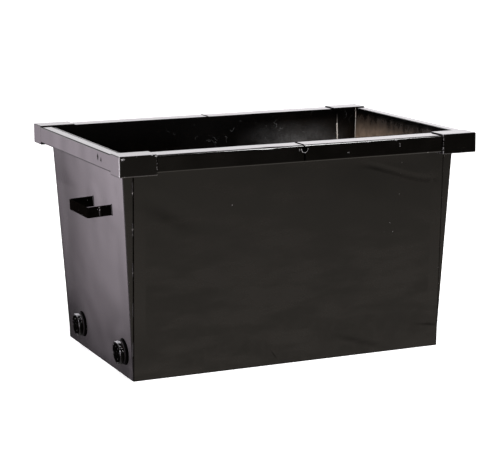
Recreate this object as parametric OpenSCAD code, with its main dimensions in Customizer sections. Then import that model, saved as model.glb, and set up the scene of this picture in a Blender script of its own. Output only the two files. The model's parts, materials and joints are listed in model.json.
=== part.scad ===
// Livestock water trough: a welded sheet steel tank that widens towards its mouth, with a box section
// rim outside its top edge, capped corners, a lifting handle on each end and two capped drains.
// Origin: on the floor, at the middle of the tank. X runs along the trough, Y across it, Z up.
// The left end (-X) carries the drains. The front is the long side at -Y.

/* [Tank] */
// Height from the floor to the top of the corner caps
tank_h = 714; // [650:1:800]
// Length of the tank at the floor
base_l = 1057; // [1000:1:1080]
// Length of the tank level with the top of the corner caps
mouth_l = 1131; // [1090:1:1140]
// Width of the tank at the floor
base_w = 627; // [600:1:650]
// Width of the tank level with the top of the corner caps
mouth_w = 698; // [670:1:710]
// Thickness of the tank's sheet
sheet_t = 3; // [2:0.5:4]
// How far the end panels' flanges lap inside the long panels at the floor
flange_lap = 40; // [25:1:60]
// Height of the base panel's turned-up edges
base_turn_up = 30; // [20:1:36]

/* [Rim] */
// Length over the rim
rim_l = 1200; // [1190:1:1220]
// Width over the rim
rim_w = 850; // [840:1:870]
// Height of the rim's box section
rim_h = 53; // [45:1:58]
// Wall of the rim's box section
rim_wall = 3; // [2:0.5:4]
// Outside corner radius of the rim's box section
rim_corner_r = 5; // [4:0.5:8]
// Diameter of the vent hole where the front rim's two lengths meet
vent_d = 17; // [8:1:20]
// Depth of the vent hole's centre below the top of the rim
vent_drop = 11; // [11:1:20]

/* [Corner caps] */
// Length of a corner cap along the long side
cap_l = 119; // [90:1:150]
// Height of a corner cap
cap_h = 63; // [60:1:70]
// Thickness of a corner cap's sheet
cap_t = 3; // [2:0.5:4]

/* [Handles] */
// How far a handle stands out of the end panel
handle_reach = 80; // [60:1:100]
// Length of a handle along the end panel, outside
handle_l = 178; // [140:1:220]
// Height of the handle's flat bar
handle_bar_h = 33; // [25:1:40]
// Thickness of the handle's flat bar
handle_bar_t = 5; // [4:0.5:6]
// Length of each lug between the end panel and the handle's strap
lug_l = 39; // [25:1:45]
// Distance of the handle's middle from the end panel's middle, towards the viewer's right from outside
handle_offset = 138; // [0:1:150]
// Height of the handle's middle, up the end panel
handle_up = 523; // [400:1:560]

/* [Drains] */
// Distance of the front drain from the end panel's middle
front_drain_offset = 245; // [200:1:250]
// Distance of the back drain from the end panel's middle
back_drain_offset = 153; // [100:1:200]
// Height of the drains' axes, up the end panel
drain_up = 80; // [75:1:150]
// Inside diameter of a drain socket
drain_bore_d = 51; // [40:1:52]
// Outside diameter of the socket's threaded neck
neck_d = 59.6; // [58:0.1:60]
// Outside diameter of the socket's collar
collar_d = 77; // [74:1:84]
// Thickness of the socket's collar
collar_t = 9; // [5:1:10]
// How far the neck stands out of the end panel
neck_l = 21.5; // [20:0.5:24]
// Diameter over the drain cap's ribs
drain_cap_d = 73; // [70:1:76]
// Number of ribs round the drain cap
rib_count = 36; // [12:1:48]

/* [Hidden] */

// Sides: the left end and the front are negative, the right end and the back are positive
LEFT = -1;
RIGHT = 1;
FRONT = -1;
BACK = 1;
// Larger than the whole trough, for slabs that are cut to length afterwards
far = 2000;
round_fn = 96;
small_fn = 32;

end_lean = atan((mouth_l - base_l) / 2 / tank_h);
side_lean = atan((mouth_w - base_w) / 2 / tank_h);
panel_top = tank_h - cap_t;
flange_x = base_l / 2 - flange_lap;

rim_bottom = panel_top - rim_h;
long_rim_w = (rim_w - mouth_w) / 2 - cap_t;
end_rim_set_back = 0.5;
end_rim_w = (rim_l - mouth_l) / 2 - end_rim_set_back;
cap_w = (rim_w - mouth_w) / 2;

bead_r = 3;
stitch_l = 45;
stitch_pitch = 125;
stitch_first = 80;
stitch_count = 5;
rim_bead_r = 6;
rim_stitch_l = 40;
rim_stitch_pitch = 150;
joint_bead_h = 1.4;
joint_bead_r = 4;

strap_bend_r = 8;
panel_hole_clearance = 0.1;
socket_tail = 5;
tail_d = 60;
edge_chamfer = 1.5;
thread_clearance = 0.06;
drain_cap_start = 12;
drain_cap_end = 26;
drain_cap_face_t = 2.4;
drain_face_recess = 1;
drain_face_land = 5;
rib_h = 0.9;
rib_w = 2.6;
gasket_t = 2;
gasket_clearance = 0.05;
gasket_id = 52;
gasket_od = 59;
socket_bead_r = 3.5;

paint = [0.09, 0.085, 0.08];
paint_worn = [0.16, 0.15, 0.145];
weld_grey = [0.3, 0.29, 0.28];
rubber_black = [0.05, 0.05, 0.05];

// ---- Helpers ----

// A slab parallel to an end wall: it starts d inside the wall's outer face and is t thick
module end_slab(side, d, t)
    mirror([side > 0 ? 1 : 0, 0, 0])
        translate([-base_l / 2, 0, 0])
            rotate([0, -end_lean, 0])
                translate([d, -far / 2, -far / 2])
                    cube([t, far, far]);

// A slab parallel to a long wall: it starts d inside the wall's outer face and is t thick
module side_slab(side, d, t)
    mirror([0, side > 0 ? 1 : 0, 0])
        translate([0, -base_w / 2, 0])
            rotate([side_lean, 0, 0])
                translate([-far / 2, d, -far / 2])
                    cube([far, t, far]);

// The space inside both long walls, from d inside their outer faces
module inside_sides(d)
    intersection() {
        side_slab(FRONT, d, far);
        side_slab(BACK, d, far);
    }

// The space inside both end walls, from d inside their outer faces
module inside_ends(d)
    intersection() {
        end_slab(LEFT, d, far);
        end_slab(RIGHT, d, far);
    }

// A level block from z0 to z1, centred on the origin in plan
module level_block(z0, z1, l, w)
    translate([-l / 2, -w / 2, z0])
        cube([l, w, z1 - z0]);

// Everything further out along X than x, on one side
module outboard(side, x)
    translate([side > 0 ? x : -x - far, -far / 2, -far / 2])
        cube([far, far, far]);

// Places children on an end wall's outer face, with X outwards, Y across and Z up the wall
module on_end(side, y, up)
    mirror([side < 0 ? 1 : 0, 0, 0])
        translate([base_l / 2, y, 0])
            rotate([0, end_lean, 0])
                translate([0, 0, up])
                    children();

// Places children on a long wall's outer face, with X along it, Y inwards and Z up the wall
module on_side(side, x, up)
    mirror([0, side > 0 ? 1 : 0, 0])
        translate([x, -base_w / 2, 0])
            rotate([side_lean, 0, 0])
                translate([0, 0, up])
                    children();

// A rectangle with round corners, its lower left corner at the origin
module rounded_rect(w, h, r) {
    translate([r, 0])
        square([w - 2 * r, h]);
    translate([0, r])
        square([w, h - 2 * r]);
    for (x = [r, w - r], y = [r, h - r])
        translate([x, y])
            circle(r = r, $fn = small_fn);
}

// The rim's box section, w wide and rim_h high
module box_section(w)
    difference() {
        rounded_rect(w, rim_h, rim_corner_r);
        translate([rim_wall, rim_wall])
            rounded_rect(w - 2 * rim_wall, rim_h - 2 * rim_wall, rim_corner_r - rim_wall);
    }

// A turned piece: profile holds [radius, distance out of the wall] points
module turned(profile)
    rotate([0, 90, 0])
        rotate_extrude($fn = round_fn)
            polygon(profile);

// A low round-backed bead of length l along Z, standing joint_bead_h out of the plane Y = 0 towards -Y
module flat_bead(l)
    intersection() {
        translate([0, joint_bead_r - joint_bead_h, 0])
            cylinder(r = joint_bead_r, h = l, $fn = small_fn);
        translate([-joint_bead_r, -joint_bead_r, 0])
            cube([2 * joint_bead_r, joint_bead_r, l]);
    }

// ---- Tank ----

module long_panel(side)
    intersection() {
        side_slab(side, 0, sheet_t);
        level_block(0, panel_top, base_l, far);
    }

// A sloping sheet whose two upright edges are folded back along the long walls
module end_panel(side)
    intersection() {
        union() {
            intersection() {
                end_slab(side, 0, sheet_t);
                inside_sides(sheet_t);
            }
            for (s = [FRONT, BACK])
                intersection() {
                    side_slab(s, sheet_t, sheet_t);
                    end_slab(side, 0, far);
                    outboard(side, flange_x);
                }
        }
        level_block(0, panel_top, far, far);
    }

module drain_holes()
    for (y = [-front_drain_offset, back_drain_offset])
        on_end(LEFT, y, drain_up)
            rotate([0, 90, 0])
                cylinder(d = tail_d + 2 * panel_hole_clearance, h = 4 * sheet_t, center = true, $fn = round_fn);

module front_panel()
    color(paint)
        long_panel(FRONT);

module back_panel()
    color(paint)
        long_panel(BACK);

module left_end_panel()
    color(paint)
        difference() {
            end_panel(LEFT);
            drain_holes();
        }

module right_end_panel()
    color(paint)
        end_panel(RIGHT);

// A flat sheet with its edges turned up inside the walls, notched round the end panels' flanges
module base_panel()
    color(paint_worn) {
        intersection() {
            level_block(0, sheet_t, 2 * flange_x, far);
            inside_sides(sheet_t);
        }
        intersection() {
            level_block(0, sheet_t, far, far);
            inside_sides(2 * sheet_t);
            inside_ends(sheet_t);
        }
        for (s = [FRONT, BACK])
            intersection() {
                side_slab(s, sheet_t, sheet_t);
                level_block(0, base_turn_up, 2 * flange_x, far);
            }
        for (s = [LEFT, RIGHT])
            intersection() {
                end_slab(s, sheet_t, sheet_t);
                inside_sides(2 * sheet_t);
                level_block(0, base_turn_up, far, far);
            }
    }

// ---- Rim ----

// One length of a long rim, from inside its corner cap to the middle of the trough
module long_rim(x_side, y_side)
    mirror([x_side > 0 ? 1 : 0, 0, 0])
        mirror([0, y_side > 0 ? 1 : 0, 0])
            translate([-rim_l / 2 + cap_t, -rim_w / 2 + cap_t, rim_bottom])
                rotate([90, 0, 90])
                    linear_extrude(rim_l / 2 - cap_t)
                        box_section(long_rim_w);

// The end rim, between the two long rims
module end_rim(side)
    mirror([side > 0 ? 1 : 0, 0, 0])
        translate([-mouth_l / 2 - end_rim_w, mouth_w / 2, rim_bottom])
            rotate([90, 0, 0])
                linear_extrude(mouth_w)
                    box_section(end_rim_w);

module vent_hole()
    translate([0, -rim_w / 2, panel_top - vent_drop])
        rotate([90, 0, 0])
            cylinder(d = vent_d, h = 4 * cap_t, center = true, $fn = round_fn);

module front_rim_left()
    color(paint)
        difference() {
            long_rim(LEFT, FRONT);
            vent_hole();
        }

module front_rim_right()
    color(paint)
        difference() {
            long_rim(RIGHT, FRONT);
            vent_hole();
        }

module back_rim_left()
    color(paint)
        long_rim(LEFT, BACK);

module back_rim_right()
    color(paint)
        long_rim(RIGHT, BACK);

module left_end_rim()
    color(paint)
        end_rim(LEFT);

module right_end_rim()
    color(paint)
        end_rim(RIGHT);

// A channel with a closed end that wraps the end of a long rim, open towards the tank
module corner_cap(x_side, y_side)
    mirror([x_side > 0 ? 1 : 0, 0, 0])
        mirror([0, y_side > 0 ? 1 : 0, 0])
            translate([-rim_l / 2, -rim_w / 2, tank_h - cap_h])
                difference() {
                    cube([cap_l, cap_w, cap_h]);
                    translate([cap_t, cap_t, cap_t])
                        cube([cap_l, cap_w, cap_h - 2 * cap_t]);
                }

module front_left_corner_cap()
    color(paint_worn)
        corner_cap(LEFT, FRONT);

module front_right_corner_cap()
    color(paint_worn)
        corner_cap(RIGHT, FRONT);

module back_left_corner_cap()
    color(paint_worn)
        corner_cap(LEFT, BACK);

module back_right_corner_cap()
    color(paint_worn)
        corner_cap(RIGHT, BACK);

// ---- Handles ----

// The middle of each handle across its end wall: both stand to the same hand, seen from outside
function handle_y(side) = side * handle_offset;

// A flat bar bent into a U, its two legs pointing at the wall
module handle_strap(side)
    color(paint)
        on_end(side, handle_y(side), handle_up)
            translate([0, 0, -handle_bar_h / 2])
                linear_extrude(handle_bar_h)
                    difference() {
                        translate([0, -handle_l / 2])
                            rounded_rect(handle_reach, handle_l, strap_bend_r);
                        translate([0, -handle_l / 2 + handle_bar_t])
                            rounded_rect(handle_reach - handle_bar_t, handle_l - 2 * handle_bar_t,
                                         strap_bend_r - handle_bar_t);
                        translate([-1, -handle_l])
                            square([lug_l + 1, 2 * handle_l]);
                    }

// The two flat stubs that carry the strap
module handle_lugs(side)
    color(paint)
        on_end(side, handle_y(side), handle_up)
            for (s = [-1, 1])
                translate([0, s * (handle_l - handle_bar_t) / 2 - handle_bar_t / 2, -handle_bar_h / 2])
                    cube([lug_l, handle_bar_t, handle_bar_h]);

// Beads across the outer face of each leg where strap and lug meet, and at the lugs' roots
module handle_welds(side)
    color(weld_grey)
        on_end(side, handle_y(side), handle_up)
            for (s = [-1, 1])
                mirror([0, s > 0 ? 1 : 0, 0]) {
                    translate([lug_l, -handle_l / 2, -handle_bar_h / 2])
                        flat_bead(handle_bar_h);
                    intersection() {
                        translate([0, -handle_l / 2, -handle_bar_h / 2])
                            cylinder(r = bead_r, h = handle_bar_h, $fn = small_fn);
                        translate([0, -handle_l / 2 - bead_r, -handle_bar_h / 2])
                            cube([bead_r, bead_r, handle_bar_h]);
                    }
                }

// ---- Drains ----

// A collar against the wall, a tail through it and a neck for the screw cap, with a clear bore
module drain_socket(y)
    color(paint_worn)
        on_end(LEFT, y, drain_up)
            turned([
                [drain_bore_d / 2, -socket_tail],
                [tail_d / 2, -socket_tail],
                [tail_d / 2, 0],
                [collar_d / 2, 0],
                [collar_d / 2, collar_t - edge_chamfer],
                [collar_d / 2 - edge_chamfer, collar_t],
                [neck_d / 2, collar_t],
                [neck_d / 2, neck_l],
                [drain_bore_d / 2, neck_l]
            ]);

// A round cap that screws over the neck, with ribs for grip round its edge
module drain_cap(y)
    color(paint)
        on_end(LEFT, y, drain_up) {
            turned([
                [neck_d / 2 + thread_clearance, drain_cap_start],
                [drain_cap_d / 2 - rib_h, drain_cap_start],
                [drain_cap_d / 2 - rib_h, drain_cap_end - edge_chamfer],
                [drain_cap_d / 2 - rib_h - edge_chamfer, drain_cap_end],
                [drain_cap_d / 2 - drain_face_land, drain_cap_end],
                [drain_cap_d / 2 - drain_face_land - drain_face_recess, drain_cap_end - drain_face_recess],
                [0, drain_cap_end - drain_face_recess],
                [0, drain_cap_end - drain_cap_face_t],
                [neck_d / 2 + thread_clearance, drain_cap_end - drain_cap_face_t]
            ]);
            for (i = [0 : rib_count - 1])
                rotate([i * 360 / rib_count, 0, 0])
                    translate([drain_cap_start + edge_chamfer, -rib_w / 2, neck_d / 2 + edge_chamfer])
                        cube([drain_cap_end - drain_cap_start - 3 * edge_chamfer, rib_w,
                              drain_cap_d / 2 - neck_d / 2 - edge_chamfer]);
        }

// A flat ring inside the cap that seals on the end of the neck
module cap_gasket(y)
    color(rubber_black)
        on_end(LEFT, y, drain_up)
            turned([
                [gasket_id / 2, neck_l + gasket_clearance],
                [gasket_od / 2, neck_l + gasket_clearance],
                [gasket_od / 2, neck_l + gasket_t],
                [gasket_id / 2, neck_l + gasket_t]
            ]);

// ---- Welds ----

// Stitches along the long panel's upright edge, and the sealing bead inside along the flange's edge
module corner_weld(x_side, y_side)
    color(weld_grey)
        on_side(y_side, 0, 0)
            mirror([x_side > 0 ? 1 : 0, 0, 0]) {
                for (i = [0 : stitch_count - 1])
                    intersection() {
                        translate([-base_l / 2, sheet_t, stitch_first + i * stitch_pitch])
                            cylinder(r = bead_r, h = stitch_l, $fn = small_fn);
                        translate([-base_l / 2 - bead_r, sheet_t - bead_r, 0])
                            cube([bead_r, bead_r, tank_h]);
                    }
                intersection() {
                    translate([-flange_x, sheet_t, base_turn_up + bead_r])
                        cylinder(r = bead_r, h = rim_bottom - base_turn_up, $fn = small_fn);
                    translate([-flange_x, sheet_t, 0])
                        cube([bead_r, bead_r, tank_h]);
                }
            }

// The watertight bead along the top of the base panel's turned-up edges
module base_weld()
    color(weld_grey) {
        for (s = [FRONT, BACK])
            intersection() {
                translate([0, s * (base_w / 2 + base_turn_up * tan(side_lean) - sheet_t), base_turn_up])
                    rotate([0, 90, 0])
                        cylinder(r = bead_r, h = 2 * flange_x, center = true, $fn = small_fn);
                side_slab(s, sheet_t, far);
                level_block(base_turn_up, tank_h, far, far);
            }
        for (s = [LEFT, RIGHT])
            intersection() {
                translate([s * (base_l / 2 + base_turn_up * tan(end_lean) - sheet_t), 0, base_turn_up])
                    rotate([90, 0, 0])
                        cylinder(r = bead_r, h = base_w, center = true, $fn = small_fn);
                end_slab(s, sheet_t, far);
                inside_sides(2 * sheet_t);
                level_block(base_turn_up, tank_h, far, far);
            }
    }

// Beads round the corner caps' open ends and the mid joints, and stitches under the rim
module rim_welds()
    color(weld_grey) {
        for (sx = [LEFT, RIGHT], sy = [FRONT, BACK])
            mirror([sx > 0 ? 1 : 0, 0, 0])
                mirror([0, sy > 0 ? 1 : 0, 0])
                    cap_seam_bead();
        for (sy = [FRONT, BACK])
            mirror([0, sy > 0 ? 1 : 0, 0])
                mid_joint_bead();
        for (sy = [FRONT, BACK], i = [-3 : 3])
            rim_stitch(sy, i * rim_stitch_pitch);
    }

// The bead in the step between a corner cap's open end and the rim's outer face
module cap_seam_bead()
    intersection() {
        translate([-rim_l / 2 + cap_l, -rim_w / 2 + cap_t, rim_bottom + rim_corner_r])
            cylinder(r = cap_t, h = rim_h - 2 * rim_corner_r, $fn = small_fn);
        translate([-rim_l / 2 + cap_l, -rim_w / 2, rim_bottom])
            cube([cap_t, cap_t, rim_h]);
    }

// The bead down the rim's outer face below the vent hole, and the one across its top
module mid_joint_bead() {
    translate([0, -rim_w / 2 + cap_t, rim_bottom + rim_corner_r])
        flat_bead(rim_h - 2 * rim_corner_r - vent_drop - vent_d / 2 + rim_corner_r);
    translate([0, -mouth_w / 2 - rim_corner_r, panel_top])
        rotate([90, 0, 0])
            mirror([0, 1, 0])
                flat_bead(long_rim_w - 2 * rim_corner_r);
}

// A short bead in the angle between the rim's underside and a long wall
module rim_stitch(side, x)
    intersection() {
        translate([x, side * (base_w / 2 + rim_bottom * tan(side_lean)), rim_bottom])
            rotate([0, 90, 0])
                cylinder(r = rim_bead_r, h = rim_stitch_l, center = true, $fn = small_fn);
        side_slab(side, -far, far);
        level_block(0, rim_bottom, far, far);
    }

// A ring of bead round each drain socket's collar
module drain_socket_welds()
    color(weld_grey)
        for (y = [-front_drain_offset, back_drain_offset])
            on_end(LEFT, y, drain_up)
                turned([
                    [collar_d / 2, 0],
                    [collar_d / 2 + socket_bead_r, 0],
                    [collar_d / 2 + socket_bead_r * 0.7, socket_bead_r * 0.7],
                    [collar_d / 2, socket_bead_r]
                ]);

front_panel();
back_panel();
left_end_panel();
right_end_panel();
base_panel();
front_rim_left();
front_rim_right();
back_rim_left();
back_rim_right();
left_end_rim();
right_end_rim();
front_left_corner_cap();
front_right_corner_cap();
back_left_corner_cap();
back_right_corner_cap();
handle_strap(LEFT);  // left_handle_strap
handle_lugs(LEFT);  // left_handle_lugs
handle_strap(RIGHT);  // right_handle_strap
handle_lugs(RIGHT);  // right_handle_lugs
drain_socket(-front_drain_offset);  // front_drain_socket
drain_socket(back_drain_offset);  // back_drain_socket
drain_cap(-front_drain_offset);  // front_drain_cap
drain_cap(back_drain_offset);  // back_drain_cap
cap_gasket(-front_drain_offset);  // front_cap_gasket
cap_gasket(back_drain_offset);  // back_cap_gasket
corner_weld(LEFT, FRONT);  // front_left_corner_weld
corner_weld(RIGHT, FRONT);  // front_right_corner_weld
corner_weld(LEFT, BACK);  // back_left_corner_weld
corner_weld(RIGHT, BACK);  // back_right_corner_weld
base_weld();
rim_welds();
handle_welds(LEFT);  // left_handle_welds
handle_welds(RIGHT);  // right_handle_welds
drain_socket_welds();
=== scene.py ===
"""Looks for the livestock water trough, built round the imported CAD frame.

Metres, in the frame's axes: X along the trough, Y across it, Z up. The front is at -Y and the drains are
at the left end (-X). Sizes come from the CAD nodes or are named below. Each piece stands for the CAD node
that it is named after, and rides on the same body.
"""
import json
import math
import random

import bmesh
import bpy
from mathutils import Matrix, Vector, noise

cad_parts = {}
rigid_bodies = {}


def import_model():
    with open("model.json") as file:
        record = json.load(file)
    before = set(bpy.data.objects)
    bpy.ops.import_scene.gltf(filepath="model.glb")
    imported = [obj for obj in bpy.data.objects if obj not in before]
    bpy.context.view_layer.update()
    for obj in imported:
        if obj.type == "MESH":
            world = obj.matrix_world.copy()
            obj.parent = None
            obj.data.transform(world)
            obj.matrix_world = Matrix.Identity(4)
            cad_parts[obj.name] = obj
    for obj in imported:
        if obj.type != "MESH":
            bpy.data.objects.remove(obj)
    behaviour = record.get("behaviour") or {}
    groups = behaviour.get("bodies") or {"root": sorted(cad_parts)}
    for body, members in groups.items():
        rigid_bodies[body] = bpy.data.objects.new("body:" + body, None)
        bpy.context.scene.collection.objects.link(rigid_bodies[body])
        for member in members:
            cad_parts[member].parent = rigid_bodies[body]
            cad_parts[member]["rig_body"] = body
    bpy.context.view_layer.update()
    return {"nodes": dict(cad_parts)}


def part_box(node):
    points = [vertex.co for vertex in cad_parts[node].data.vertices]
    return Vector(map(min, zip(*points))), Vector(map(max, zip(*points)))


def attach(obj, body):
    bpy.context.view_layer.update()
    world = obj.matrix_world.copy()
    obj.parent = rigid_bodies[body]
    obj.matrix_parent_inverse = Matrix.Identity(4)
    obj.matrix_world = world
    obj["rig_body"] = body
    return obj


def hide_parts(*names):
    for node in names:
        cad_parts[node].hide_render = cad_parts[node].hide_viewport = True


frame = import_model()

LEFT, RIGHT = -1, 1
FRONT, BACK = -1, 1
BOTH = (-1, 1)
CORNERS = [(y_name, x_name, y_side, x_side)
           for y_name, y_side in (("front", FRONT), ("back", BACK))
           for x_name, x_side in (("left", LEFT), ("right", RIGHT))]


# ---- Sizes ----

def farthest(node, axis, height):
    """How far a CAD node reaches from the middle along an axis, among its points at one height."""
    points = [v.co for v in frame["nodes"][node].data.vertices]
    return max(abs(p[axis]) for p in points if abs(p.z - height) < 1e-5)


def box_width(node):
    """Size of a CAD node's box along Y."""
    low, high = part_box(node)
    return high.y - low.y


def box_middle(node):
    """Middle of a CAD node's box along Y."""
    low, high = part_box(node)
    return (low.y + high.y) / 2


SHEET = 0.003
FOLD_R = 0.004
FLANGE_LAP = 0.040
TRAY_FOLD_R = 0.005
TURN_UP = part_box("base_panel")[1].z
PANEL_HALF_L, _, PANEL_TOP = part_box("front_panel")[1]
FLANGE_X = PANEL_HALF_L - FLANGE_LAP
BASE_HALF_L = farthest("left_end_panel", 0, 0)
BASE_HALF_W = farthest("front_panel", 1, 0)
END_SLOPE = (farthest("left_end_panel", 0, PANEL_TOP) - BASE_HALF_L) / PANEL_TOP
SIDE_SLOPE = (farthest("front_panel", 1, PANEL_TOP) - BASE_HALF_W) / PANEL_TOP
END_LEAN = math.atan(END_SLOPE)
SIDE_LEAN = math.atan(SIDE_SLOPE)
SHEET_ACROSS = SHEET / math.cos(SIDE_LEAN)
INSIDE_HALF_W = BASE_HALF_W - SHEET_ACROSS - SHEET

RIM_WALL = 0.003
RIM_CORNER_R = 0.004
RIM_EDGE_R = 0.008
KNOCK_X = 0.115
KNOCK_L = 0.065
KNOCK_R = 0.006
RIM_LOW, RIM_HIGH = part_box("front_rim_left")
RIM_END, RIM_OUT, RIM_BOTTOM = -RIM_LOW.x, -RIM_LOW.y, RIM_LOW.z
RIM_IN, RIM_TOP = -RIM_HIGH.y, RIM_HIGH.z
END_RIM_IN = -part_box("left_end_rim")[1].x
VENT_R = 0.0097
VENT_Z = RIM_TOP - 0.0125

CAP_SHEET = 0.003
CAP_LOW, CAP_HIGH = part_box("front_left_corner_cap")
CAP_MOUTH = -CAP_HIGH.x
END_RIM_OUT = -CAP_LOW.x

BAR_H = 0.033
BAR_T = 0.005
BAR_EDGE_R = 0.0013
BEND_R = 0.008
LUG_L = 0.039
HANDLE_REACH = 0.080
HANDLE_L = box_width("left_handle_strap")
HANDLE_Y = box_middle("right_handle_strap")
HANDLE_UP = 0.523
LEG_Y = (HANDLE_L - BAR_T) / 2

DRAINS = {name: box_middle(name + "_drain_cap") for name in ("front", "back")}
DRAIN_UP = 0.080
BORE_R = 0.0255
NECK_R = 0.0298
COLLAR_R = box_width("front_drain_socket") / 2
COLLAR_T = 0.009
NECK_L = 0.0215
TAIL_R = 0.030
TAIL_L = 0.005
THREAD_PITCH = 0.0254 / 11
THREAD_DEPTH = 0.0009
DRAIN_CAP_R = box_width("front_drain_cap") / 2
DRAIN_CAP_START = 0.012
DRAIN_CAP_END = 0.026
DRAIN_CAP_FACE = 0.0024
DRAIN_CAP_LIP = DRAIN_CAP_R - 0.0050
RIBS = 36
RIB_H = 0.0009
GASKET_IN_R = 0.026
GASKET_OUT_R = 0.0295
GASKET_T = 0.002
GASKET_EDGE_R = 0.0005

BEAD_R = 0.003
BEAD_PITCH = 0.0022
BEAD_FILL = 0.92
BEAD_SINK = 0.0003
RIPPLE = 0.09
RIPPLE_LAG = 0.35
SWELL = 0.10
SWELL_L = 0.012
BEAD_SHARP = 60
BAR_SHARP = 50
STITCH_L = 0.045
STITCH_PITCH = 0.125
STITCH_FIRST = 0.080
STITCHES = 5
RIM_BEAD_R = 0.006
RIM_STITCH_L = 0.040
RIM_STITCH_PITCH = 0.150


def end_x(z):
    """Distance of an end panel's outer face from the middle, at one height."""
    return BASE_HALF_L + END_SLOPE * z


def side_y(z):
    """Distance of a long panel's outer face from the middle, at one height."""
    return BASE_HALF_W + SIDE_SLOPE * z


def on_end(side, y, up):
    """A place on an end panel's outer face: X outwards, Y along the frame's Y, Z up the wall."""
    out = Vector((side * math.cos(END_LEAN), 0, -math.sin(END_LEAN)))
    rise = Vector((side * math.sin(END_LEAN), 0, math.cos(END_LEAN)))
    origin = Vector((side * BASE_HALF_L, y, 0)) + rise * up
    return (out, Vector((0, 1, 0)), rise), origin


def on_side(side, x, up):
    """A place on a long panel's outer face: X along the frame's X, Y inwards, Z up the wall."""
    inwards = Vector((0, -side * math.cos(SIDE_LEAN), math.sin(SIDE_LEAN)))
    rise = Vector((0, side * math.sin(SIDE_LEAN), math.cos(SIDE_LEAN)))
    origin = Vector((x, side * BASE_HALF_W, 0)) + rise * up
    return (Vector((1, 0, 0)), inwards, rise), origin


def placed(place, x, y, z):
    """A point given along a place's own directions, in the trough's frame."""
    (a, b, c), origin = place
    return origin + a * x + b * y + c * z


# ---- Small maths ----

def steps(start, end, count):
    """count + 1 evenly spaced values from start to end."""
    return [start + (end - start) * i / count for i in range(count + 1)]


def smooth(value):
    """0 below 0, 1 above 1 and a soft slope between them."""
    value = min(1.0, max(0.0, value))
    return value * value * (3 - 2 * value)


def uneven(a, b, size, seed):
    """Smooth unevenness of about -1 to 1 that changes over lengths of about size."""
    return 1.6 * noise.noise(Vector((a / size, b / size, seed)))


def arc(centre, radius, start, end, count):
    """Points of an arc in a plane, angles in degrees."""
    angles = [math.radians(a) for a in steps(start, end, count)]
    return [(centre[0] + radius * math.cos(a), centre[1] + radius * math.sin(a)) for a in angles]


def rounded_outline(left, bottom, right, top, radii, flat_steps, corner_steps):
    """Outline of a rectangle with round corners, its long runs cut into flat_steps.

    radii are those of the bottom right, top right, top left and bottom left corners.
    """
    centres = ((right - radii[0], bottom + radii[0]), (right - radii[1], top - radii[1]),
               (left + radii[2], top - radii[2]), (left + radii[3], bottom + radii[3]))
    curves = [arc(centre, radius, turn, turn + 90, corner_steps)
              for centre, radius, turn in zip(centres, radii, (-90, 0, 90, 180))]
    points = []
    for curve, following in zip(curves, curves[1:] + curves[:1]):
        (u, v), (next_u, next_v) = curve[-1], following[0]
        points += curve
        points += [(u + (next_u - u) * t, v + (next_v - v) * t) for t in steps(0, 1, flat_steps)[1:-1]]
    return points


# ---- Mesh building ----

class Shell:
    """Collects the points and faces of one piece, then turns them into an object."""

    def __init__(self):
        self.points = []
        self.faces = []
        self.paints = []

    def number(self, row):
        """Adds a row of points and returns their numbers."""
        first = len(self.points)
        self.points.extend(row)
        return list(range(first, len(self.points)))

    def face(self, corners, paint=0):
        """Adds one face."""
        self.faces.append(tuple(corners))
        self.paints.append(paint)

    def join(self, rows, ring=False, paint=0):
        """Adds the faces between rows of point numbers. ring closes each row on itself."""
        for low, high in zip(rows, rows[1:]):
            for i in range(len(low) if ring else len(low) - 1):
                j = (i + 1) % len(low)
                self.face((low[i], low[j], high[j], high[i]), paint)

    def sheet(self, outer, inner, paint_edge=0):
        """A closed sheet between an outer grid of points in paint 0 and an inner one in paint 1."""
        outer_rows = [self.number(row) for row in outer]
        inner_rows = [self.number(row) for row in inner]
        self.join(outer_rows)
        self.join(inner_rows, paint=1)
        self.join([border(outer_rows), border(inner_rows)], ring=True, paint=paint_edge)

    def pipe(self, outer, inner):
        """A hollow closed tube from outer and inner rings of points."""
        outer_rows = [self.number(ring) for ring in outer]
        inner_rows = [self.number(ring) for ring in inner]
        self.join(outer_rows, ring=True)
        self.join(inner_rows, ring=True)
        for end in (0, -1):
            self.join([outer_rows[end], inner_rows[end]], ring=True)

    def bar(self, rings, closed=False):
        """A solid bar through rings of points, with flat ends unless it closes on itself."""
        rows = [self.number(ring) for ring in rings]
        self.join(rows + rows[:1] if closed else rows, ring=True)
        if not closed:
            self.face(rows[0])
            self.face(rows[-1])

    def blob(self, centre, radius, squash):
        """A low drop of spatter: a small ball, squashed along one direction."""
        work = bmesh.new()
        bmesh.ops.create_icosphere(work, subdivisions=1, radius=radius)
        work.verts.index_update()
        first = len(self.points)
        self.number([centre + v.co - squash * (v.co.dot(squash) * 0.5) for v in work.verts])
        for face in work.faces:
            self.face([first + v.index for v in face.verts])
        work.free()

    def make(self, name, paints, sharp_angle=35):
        """The finished object, its faces pointing outwards, smooth but for its sharp edges."""
        mesh = bpy.data.meshes.new(name)
        mesh.from_pydata(self.points, [], self.faces)
        piece = link(name, mesh, paints)
        mesh.polygons.foreach_set("material_index", self.paints)
        return settle(piece, sharp_angle)

    def show(self, node, kind, paint, slot, sharp_angle=35, mirrored=True):
        """Makes the finished object and puts it in a CAD node's place."""
        show(self.make(node + kind, [paint], sharp_angle), node, mirrored)


def border(rows):
    """The point numbers round the edge of a grid, in order."""
    up = [row[-1] for row in rows[1:-1]]
    down = [row[0] for row in reversed(rows[1:-1])]
    return rows[0] + up + rows[-1][::-1] + down


def link(name, mesh, paints):
    """An object for a mesh, in the scene, with its materials."""
    for paint in paints:
        mesh.materials.append(PAINTS[paint])
    piece = bpy.data.objects.new(name, mesh)
    bpy.context.scene.collection.objects.link(piece)
    return piece


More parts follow.
